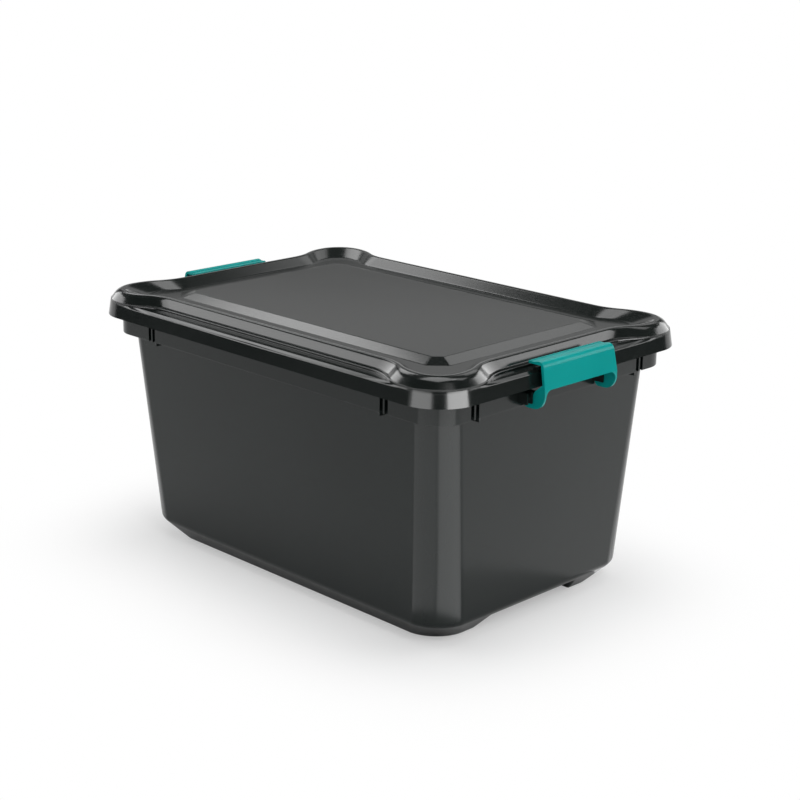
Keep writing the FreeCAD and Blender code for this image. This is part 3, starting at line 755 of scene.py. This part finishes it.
    def added(self) -> bpy.types.Object:
        """Make the ribs behind the band, the hinge ribs and the axles."""
        draft = MeshDraft("tub_added")
        top = self.rim - self.deck_thickness / 2
        band_bottom = self.rim - self.band_drop
        end_inset, side_inset, _ = self.mouth
        front = self.band_inset + self.rib_sink
        insets = ((side_inset + self.wall, front), (end_inset + self.wall, front))
        for step in (-1, 0, 1):
            bottom = band_bottom - self.rib_hang if step < 0 else band_bottom + self.overlap
            self.rib_boxes(draft, (self.rib_thickness + self.rib_gap) * step, self.rib_thickness,
                           insets, (bottom, top))
        hinge_x, hinge_z = HALF_LENGTH - self.hinge_inset, self.rim - self.hinge_drop
        back_x = HALF_LENGTH - self.band_inset - self.band_wall + self.overlap
        for y in self.hinge_ribs:
            self.quarters(draft, Vector((back_x, y, hinge_z - self.hinge_rib_half_height)),
                          Vector((hinge_x + self.hinge_rib_reach, y + self.hinge_rib_thickness,
                                  hinge_z + self.hinge_rib_half_height)))
        first, last = self.hinge_ribs[0] + self.overlap, self.hinge_ribs[-1] + self.overlap
        for x in (hinge_x, -hinge_x):
            for sign in (1, -1):
                start, end = (Vector((x, y * sign, hinge_z)) for y in (first, last))
                draft.rod(start, end, self.axle_radius)
        return draft.finish()

    def cut_out(self) -> bpy.types.Object:
        """Make the slots between the ribs and the windows for the clips' legs, to be cut out."""
        draft = MeshDraft("tub_cut_out")
        top = self.rim - self.slot_drop
        bottom = self.rim - self.band_drop - self.rib_hang - self.overlap
        back = self.band_inset + self.band_wall + self.overlap
        for side in (-1, 1):
            self.rib_boxes(draft, (self.rib_thickness + self.rib_gap) / 2 * side, self.rib_gap,
                           ((back, 0.0), (back, 0.0)), (bottom, top))
        self.quarters(draft, Vector((HALF_LENGTH - back, self.leg_window[0], bottom)),
                      Vector((HALF_LENGTH - self.band_inset + self.overlap, self.leg_window[1], top)))
        return draft.finish()

    def build(self) -> bpy.types.Object:
        """Make the tub's mesh."""
        piece = self.shell()
        joined(piece, self.added(), Joining.ADDED)
        joined(piece, self.cut_out(), Joining.CUT_OUT)
        close_pinholes(piece)
        even_shading(piece)
        return piece

    def dress(self, piece: bpy.types.Object) -> None:
        """Give the tub its finish and its place in the frame."""
        piece.data.materials.clear()
        piece.data.materials.append(TUB_PLASTIC.material())
        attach(piece, "tub")
        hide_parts("tub")
        LOGGER.info("%s: %d faces, stands for the tub", piece.name, len(piece.data.polygons))


@dataclass(frozen=True)
class Fold:
    """A bend that runs round the lid, with its height over the channel and the reach of its round.

    A fold without a corner of its own turns about the middle of the lid's corner.
    """

    inset: float
    corner_inset: float
    rise: float
    reach: float
    flare: Point
    corner: float | None = None
    kind: CornerKind = CornerKind.ROUND

    def row(self, channel_height: float) -> list[Vector]:
        """Return the fold's points, with the channel's floor at a height."""
        corner = CORNER_RADIUS - self.corner_inset if self.corner is None else self.corner
        loop = LidLoop(self.inset, self.corner_inset, corner, *self.flare, self.kind)
        return loop.row(channel_height + self.rise)

    def moved(self, inwards: float, down: float, reach: float) -> "Fold":
        """Return a fold that lies elsewhere.

        Args:
            inwards: How much further in it lies.
            down: How much lower it lies.
            reach: The reach of its round.

        Returns:
            The fold.
        """
        return replace(self, inset=self.inset + inwards, corner_inset=self.corner_inset + inwards,
                       rise=self.rise - down, reach=reach)


@dataclass
class Lid:
    """The lid: skirt, rounded lip, channel, ridge that flares to the corners, groove and raised panel."""

    channel_height: float = 297.3
    wall: float = 2.3
    skirt_wall: float = 2.2
    hem: Fold = Fold(-2.4, -2.4, -15.7, 0.5, FOOT_FLARE)
    lip_edge: Fold = Fold(0.0, 0.0, -0.8, 1.6, FOOT_FLARE)
    lip: Fold = Fold(4.5, 0.55, 1.2, 1.0, LIP_FLARE)
    channel_edge: Fold = Fold(5.0, 0.6, 0.0, 0.5, LIP_FLARE)
    strip_foot: Fold = Fold(18.6, 0.75, 0.0, 0.6, FOOT_FLARE)
    strip_edge: Fold = Fold(19.0, 0.8, 3.1, 0.9, FOOT_FLARE)
    ridge_foot: Fold = Fold(24.0, 1.2, 3.1, 1.5, FOOT_FLARE)
    shoulder: Fold = Fold(26.6, 7.4, 11.2, 3.0, CREST_FLARE)
    crest: Fold = Fold(28.4, 13.0, 13.9, 2.2, CREST_FLARE)
    crest_back: Fold = Fold(33.2, 17.8, 13.9, 3.0, CREST_FLARE)
    slope_foot: Fold = Fold(49.0, 37.0, 5.0, 3.0, SLOPE_FLARE, corner=25.0)
    panel_foot: Fold = Fold(64.0, 64.0, 5.0, 1.2, PANEL_RUN, 18.0, CornerKind.CUT)
    panel_edge: Fold = Fold(81.0, 81.0, 9.8, 1.2, PANEL_RUN, 8.5, CornerKind.CUT)
    panel_top: Fold = Fold(86.0, 86.0, 9.8, 0.0, PANEL_RUN, 7.0, CornerKind.CUT)
    under_wide_round: float = 2.0
    under_round: float = 0.8
    under_tight_round: float = 0.5
    under_crest_round: float = 0.2
    under_crest_width: float = 0.7
    under_strip_lean: float = 0.1
    channel_room: float = 3.0
    catch_size: Triple = (5.2, 111.0, 4.1)
    catch_inset: float = 0.6
    catch_round: float = 1.9
    catch_steps: int = 5
    under_steps: int = 2

    def upper(self) -> Rows:
        """Return the rows of the upper side, from the skirt's lower edge to the panel."""
        folds = [self.hem, self.lip_edge, self.lip, self.channel_edge, self.strip_foot, self.strip_edge,
                 self.ridge_foot, self.shoulder, self.crest, self.crest_back, self.slope_foot,
                 self.panel_foot, self.panel_edge, self.panel_top]
        rows = [fold.row(self.channel_height) for fold in folds]
        lip = folds.index(self.lip)
        self.close_channel(*rows[lip:lip + 4])
        return rounded_rows(rows, [fold.reach for fold in folds])

    def close_channel(self, lip: list[Vector], outer: list[Vector], inner: list[Vector],
                      strip: list[Vector]) -> None:
        """Raise the channel's floor to the lip where the ridge's strip closes in on it.

        Args:
            lip: The lip's row.
            outer: The outer row of the channel's floor, which is changed.
            inner: The inner row of the channel's floor, which is changed.
            strip: The row of the strip's upper edge.
        """
        for edge, near, far, wall in zip(lip, outer, inner, strip):
            room = (Vector(wall.xy) - Vector(edge.xy)).length
            fall = self.lip.rise * min(1.0, room / self.channel_room)
            near.z = far.z = edge.z - fall

    def under(self) -> Rows:
        """Return the rows of the underside, from the panel out to the skirt's lower edge."""
        wall, tight = self.wall, self.under_tight_round
        folds = [
            self.panel_top.moved(wall, wall, 0.0),
            self.panel_edge.moved(wall, wall, self.under_round),
            self.panel_foot.moved(wall, wall, self.under_round),
            self.slope_foot.moved(-wall, wall, self.under_wide_round),
            self.crest.moved(wall + self.under_crest_width, wall, self.under_crest_round),
            self.crest.moved(wall, wall, self.under_crest_round),
            self.shoulder.moved(wall, wall, self.under_wide_round),
            self.ridge_foot.moved(wall, wall, self.under_round),
            self.strip_edge.moved(wall, wall, tight),
            self.strip_edge.moved(wall - self.under_strip_lean, self.strip_edge.rise + wall, tight),
            self.lip_edge.moved(self.skirt_wall, self.lip_edge.rise + wall, tight),
            self.hem.moved(self.skirt_wall, 0.0, tight),
        ]
        rows = [fold.row(self.channel_height) for fold in folds]
        return rounded_rows(rows, [fold.reach for fold in folds], self.under_steps)

    def catch(self, draft: MeshDraft, side: int) -> None:
        """Add the raised catch under one clip.

        Args:
            draft: The lid's draft.
            side: 1 for the +X end and -1 for the other.
        """
        width, length, rise = self.catch_size
        outer = HALF_LENGTH - self.catch_inset
        low = self.channel_height - self.wall / 2
        top = self.channel_height + rise
        profile = [(outer - width, low), (outer - width, top), (outer, top), (outer, low)]
        rows = []
        for x, z in profile:
            rows.append([Vector((side * x, y, z)) for y in (-length / 2, length / 2)])
        bent = rounded_rows(rows, [0.0, self.catch_round, self.catch_round, 0.0], self.catch_steps)
        ends = [[row[end] for row in bent] for end in (0, 1)]
        draft.skin(ends)

    def build(self) -> bpy.types.Object:
        """Make the lid's mesh."""
        draft = MeshDraft("lid_formed")
        draft.skin(self.under() + self.upper())
        for side in (1, -1):
            self.catch(draft, side)
        piece = draft.finish()
        even_shading(piece)
        return piece

    def dress(self, piece: bpy.types.Object) -> None:
        """Give the lid its finish and its place in the frame."""
        piece.data.materials.append(LID_PLASTIC.material())
        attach(piece, "lid")
        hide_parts("lid")
        LOGGER.info("%s: %d faces, stands for the lid", piece.name, len(piece.data.polygons))


@dataclass
class MouldedNode:
    """A piece that keeps its solid's own shape, with its sharp edges eased."""

    node: str
    slot: str
    finish: MouldedPlastic
    edge_round: float
    edge_faces: int = 3
    edge_angle: float = 28.0
    plain_angle: float = 0.6
    weld_distance: float = 0.01

    def build(self) -> bpy.types.Object:
        """Ease the edges and return the piece."""
        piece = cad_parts[self.node]
        weld = piece.modifiers.new("joined", "WELD")
        weld.merge_threshold = self.weld_distance * MILLIMETRE
        plain = piece.modifiers.new("plain_faces", "DECIMATE")
        plain.decimate_type = "DISSOLVE"
        plain.angle_limit = math.radians(self.plain_angle)
        eased = piece.modifiers.new("eased_edges", "BEVEL")
        eased.width = self.edge_round * MILLIMETRE
        eased.segments = self.edge_faces
        eased.limit_method = "ANGLE"
        eased.angle_limit = math.radians(self.edge_angle)
        eased.use_clamp_overlap = True
        eased.miter_outer = "MITER_ARC"
        piece.modifiers.new("even_normals", "WEIGHTED_NORMAL")
        return piece

    def dress(self, piece: bpy.types.Object) -> None:
        """Give the piece its finish."""
        piece.data.materials.clear()
        piece.data.materials.append(self.finish.material())
        LOGGER.info("%s: keeps its solid's shape, in %s", piece.name, self.finish.name)


def level_way(bearing: float) -> Vector:
    """Return the level direction away from the box at a bearing in degrees."""
    return Vector((math.sin(math.radians(bearing)), -math.cos(math.radians(bearing)), 0.0))


def stage_sheet(name: str, points: list[Vector], material: bpy.types.Material) -> bpy.types.Object:
    """Make a flat sheet that belongs to the studio.

    Args:
        name: The sheet's name.
        points: Its outline.
        material: Its finish.

    Returns:
        The sheet.
    """
    mesh = bpy.data.meshes.new(name)
    mesh.from_pydata(points, [], [tuple(range(len(points)))])
    mesh.materials.append(material)
    made = bpy.data.objects.new(name, mesh)
    bpy.context.scene.collection.objects.link(made)
    return made


def show_in_gloss_only(sheet: bpy.types.Object) -> None:
    """Hide a sheet from the camera, from matt faces and from shadows."""
    sheet.visible_camera = False
    sheet.visible_diffuse = False
    sheet.visible_shadow = False


class LampUse(Enum):
    """What a lamp does: light everything, or only show in gloss as a pale card would."""

    LIGHT = "light"
    CARD = "card"


@dataclass(frozen=True)
class Softbox:
    """A square-edged studio lamp, placed by its bearing from the camera's side and its height angle."""

    name: str
    bearing: float
    elevation: float
    width: float
    height: float
    radiance: float
    distance: float = 2.6
    use: LampUse = LampUse.LIGHT

    def build(self, camera_bearing: float, target: Vector) -> None:
        """Make the lamp.

        Args:
            camera_bearing: The camera's bearing round the box, in degrees.
            target: The point that the lamp faces.
        """
        lamp = bpy.data.lights.new(self.name, "AREA")
        lamp.shape = "RECTANGLE"
        lamp.size = self.width
        lamp.size_y = self.height
        lamp.energy = self.radiance * math.pi * self.width * self.height
        made = bpy.data.objects.new(self.name, lamp)
        bpy.context.scene.collection.objects.link(made)
        up = math.radians(self.elevation)
        away = level_way(camera_bearing + self.bearing) * math.cos(up) + Vector((0.0, 0.0, math.sin(up)))
        made.location = target + away * self.distance
        made.rotation_mode = "QUATERNION"
        made.rotation_quaternion = away.to_track_quat("Z", "Y")
        made.visible_camera = False
        made.visible_diffuse = self.use is LampUse.LIGHT


@dataclass(frozen=True)
class FloorCard:
    """A glowing fan-shaped card on the floor beside the tub, which shows only in the gloss of its wall."""

    name: str
    start: Point
    bearings: Point
    reach: Point
    radiance: float
    lift: float = 0.002
    arc_steps: int = 8

    def build(self, camera_bearing: float) -> None:
        """Make the card.

        Args:
            camera_bearing: The camera's bearing round the box, in degrees.
        """
        first, last = self.bearings
        near, far = self.reach
        start = Vector((*self.start, self.lift))
        ways = [level_way(camera_bearing + first + (last - first) * step / self.arc_steps)
                for step in range(self.arc_steps + 1)]
        points = [start + way * near for way in ways] + [start + way * far for way in reversed(ways)]
        material, bench = new_finish(self.name)
        glow = bench.node("ShaderNodeEmission", Strength=self.radiance)
        bench.node("ShaderNodeOutputMaterial", Surface=glow.outputs[0])
        show_in_gloss_only(stage_sheet(self.name, points, material))


@dataclass(frozen=True)
class Flag:
    """A dark cloth flag that stands on the floor beside the box and shows only in gloss."""

    name: str
    bearing: float
    width: float
    height: float = 0.42
    distance: float = 2.2
    dark: Colour = (0.020, 0.020, 0.022)
    light: Colour = (0.035, 0.035, 0.038)
    weave_scale: float = 300.0
    weave_detail: float = 2.0

    def build(self, camera_bearing: float) -> None:
        """Make the flag.

        Args:
            camera_bearing: The camera's bearing round the box, in degrees.
        """
        middle = level_way(camera_bearing + self.bearing) * self.distance
        across = level_way(camera_bearing + self.bearing + QUARTER_TURN) * self.width / 2
        up = Vector((0.0, 0.0, self.height))
        points = [middle - across, middle + across, middle + across + up, middle - across + up]
        material, bench = new_finish(self.name)
        place = bench.node("ShaderNodeTexCoord").outputs["Object"]
        weave = bench.noise(place, self.weave_scale, self.weave_detail)
        cloth = bench.node("ShaderNodeBsdfPrincipled", Base_Color=bench.blend(weave, self.dark, self.light),
                           Roughness=1.0, Specular_IOR_Level=0.0)
        bench.node("ShaderNodeOutputMaterial", Surface=cloth.outputs[0])
        show_in_gloss_only(stage_sheet(self.name, points, material))


@dataclass
class Studio:
    """White floor, soft lamps and a plain surround."""

    camera_bearing: float
    lamp_aim: float = 0.28
    floor_half: float = 60.0
    floor_white: float = 0.9
    foot_half: Triple = (0.23, 0.14, 0.0)
    shade_reach: Point = (0.0, 0.24)
    shade_lift: float = 0.40
    horizon_white: float = 1.0
    horizon_reach: Point = (0.05, 0.22)
    surround: float = 0.08
    near_corner: Point = (0.215, -0.135)
    end_card_start: Point = (0.09, -0.17)

    def lamps(self) -> list[Softbox]:
        """Return the lamps, with bearings to the right of the camera counted as positive."""
        return [
            Softbox("front_left", -38.0, 3.6, width=2.1, height=0.8, radiance=3.4, distance=2.4,
                    use=LampUse.CARD),
            Softbox("front_right", 44.0, 3.6, width=2.2, height=0.8, radiance=9.0, distance=2.4,
                    use=LampUse.CARD),
            Softbox("key", 25.0, 38.0, width=1.2, height=1.0, radiance=5.0),
            Softbox("side_left", -110.0, 18.5, width=3.2, height=1.15, radiance=3.8),
            Softbox("side_right", 110.0, 18.5, width=3.2, height=1.15, radiance=3.8),
            Softbox("behind_left", -155.0, 38.0, width=0.95, height=0.75, radiance=2.9),
            Softbox("behind_right", 155.0, 38.0, width=0.95, height=0.8, radiance=1.25),
            Softbox("behind_low", 180.0, 20.0, width=2.2, height=0.6, radiance=0.4),
            Softbox("high_right", 100.0, 58.0, width=0.9, height=1.0, radiance=2.0),
            Softbox("overhead", 0.0, 90.0, width=1.6, height=1.6, radiance=3.4, distance=2.2),
        ]

    def cards(self) -> list[FloorCard]:
        """Return the cards on the floor in front of the box."""
        return [
            FloorCard("card_left", self.near_corner, (-75.0, -2.0), reach=(0.085, 1.1), radiance=2.3),
            FloorCard("card_right", self.near_corner, (2.0, 62.0), reach=(0.085, 1.1), radiance=4.0),
            FloorCard("card_end", self.end_card_start, (62.0, 112.0), reach=(0.33, 1.5), radiance=1.45),
        ]

    def flags(self) -> list[Flag]:
        """Return the dark flags beside the box."""
        return [
            Flag("flag_left", -87.0, width=1.5),
            Flag("flag_right", 87.0, width=1.5),
            Flag("flag_front", 2.0, width=0.9),
        ]

    def distance_from_box(self, bench: NodeBench) -> Signal:
        """Return how far a place on the floor lies outside the box's foot."""
        def step(operation: str, places: dict[int, Any]) -> bpy.types.NodeSocket:
            """Add one Vector Math node and return its vector."""
            return bench.node("ShaderNodeVectorMath", {"operation": operation}, places).outputs[0]

        quarter = step("ABSOLUTE", {0: bench.node("ShaderNodeTexCoord").outputs["Object"]})
        outside = step("MAXIMUM", {0: step("SUBTRACT", {0: quarter, 1: self.foot_half}), 1: (0.0, 0.0, 0.0)})
        length = bench.node("ShaderNodeVectorMath", {"operation": "LENGTH"}, {0: outside})
        return bench.signal(length, "Value")

    def floor(self) -> None:
        """Make the floor, which is white beyond the box's shadow."""
        half = self.floor_half
        corners = [Vector((x * half, y * half, 0.0)) for x, y in ((-1, -1), (1, -1), (1, 1), (-1, 1))]
        material, bench = new_finish("floor_white")
        path = bench.node("ShaderNodeLightPath")
        seen = bench.signal(path, "Is Camera Ray")
        mirrored = bench.signal(path, "Is Glossy Ray").most(bench.signal(path, "Is Transmission Ray"))
        matt = bench.node("ShaderNodeBsdfDiffuse", Color=(self.floor_white,) * 3 + (1.0,))
        white = bench.node("ShaderNodeEmission", Color=WHITE, Strength=1.0)
        far_share = self.distance_from_box(bench).step(*self.shade_reach)
        white_share = self.shade_lift + far_share * (1.0 - self.shade_lift)
        mix = bench.node("ShaderNodeMixShader", None, {1: matt.outputs[0], 2: white.outputs[0]},
                         Fac=(white_share * seen).most(far_share * mirrored))
        bench.node("ShaderNodeOutputMaterial", Surface=mix.outputs[0])
        stage_sheet("floor", corners, material)

    def world(self) -> None:
        """Make the surround: white at the horizon, as the floor is, and dim above it."""
        world = bpy.data.worlds.new("studio")
        world.use_nodes = True
        bpy.context.scene.world = world
        bench = NodeBench(world.node_tree)
        direction = bench.node("ShaderNodeTexCoord").outputs["Generated"]
        height = bench.signal(bench.node("ShaderNodeSeparateXYZ", Vector=direction), "Z")
        fade = height.step(*self.horizon_reach)
        low, high = (bench.node("ShaderNodeBackground", Color=WHITE, Strength=strength)
                     for strength in (self.horizon_white, self.surround))
        glow = bench.node("ShaderNodeMixShader", None, {1: low.outputs[0], 2: high.outputs[0]}, Fac=fade)
        bench.node("ShaderNodeOutputWorld", Surface=glow.outputs[0])

    def build(self) -> None:
        """Set up the whole studio."""
        self.floor()
        self.world()
        lamps = self.lamps()
        for lamp in lamps:
            lamp.build(self.camera_bearing, Vector((0.0, 0.0, self.lamp_aim)))
        for sheet in (*self.cards(), *self.flags()):
            sheet.build(self.camera_bearing)
        bpy.context.scene.view_settings.view_transform = "Standard"
        LOGGER.info("studio: floor and %d lamps", len(lamps))


@dataclass(frozen=True)
class PhotoCamera:
    """The camera at the photograph's place, with angles in degrees and lengths in metres."""

    place: Triple = (1.3831, -1.3437, 0.7722)
    bearing: float = 45.183
    pitch: float = 16.727
    roll: float = 0.548
    lens: float = 76.98
    sensor: float = 36.0

    def build(self) -> None:
        """Make the camera and give it to the scene."""
        pitch, roll = math.radians(self.pitch), math.radians(self.roll)
        forward = level_way(self.bearing) * -math.cos(pitch) - Vector((0.0, 0.0, math.sin(pitch)))
        level = level_way(self.bearing + QUARTER_TURN)
        upright = level.cross(forward)
        right = level * math.cos(roll) + upright * math.sin(roll)
        up = upright * math.cos(roll) - level * math.sin(roll)
        data = bpy.data.cameras.new("photo_camera")
        data.lens = self.lens
        data.sensor_width = self.sensor
        made = bpy.data.objects.new("photo_camera", data)
        bpy.context.scene.collection.objects.link(made)
        turned = Matrix((right, up, -forward)).transposed().to_4x4()
        made.matrix_world = Matrix.Translation(Vector(self.place)) @ turned
        bpy.context.scene.camera = made


def main() -> None:
    """Build every piece, then the studio and the camera."""
    logging.basicConfig(level=logging.INFO, format="%(name)s %(message)s")
    assemblies: list[Tub | Lid | MouldedNode] = [
        Tub(),
        Lid(),
        MouldedNode("clip_right", "clip_plastic", CLIP_PLASTIC, edge_round=0.5),
        MouldedNode("clip_left", "clip_plastic", CLIP_PLASTIC, edge_round=0.5),
    ]
    for assembly in assemblies:
        assembly.dress(assembly.build())
    camera = PhotoCamera()
    camera.build()
    Studio(camera.bearing).build()


if __name__ == "__main__":
    main()
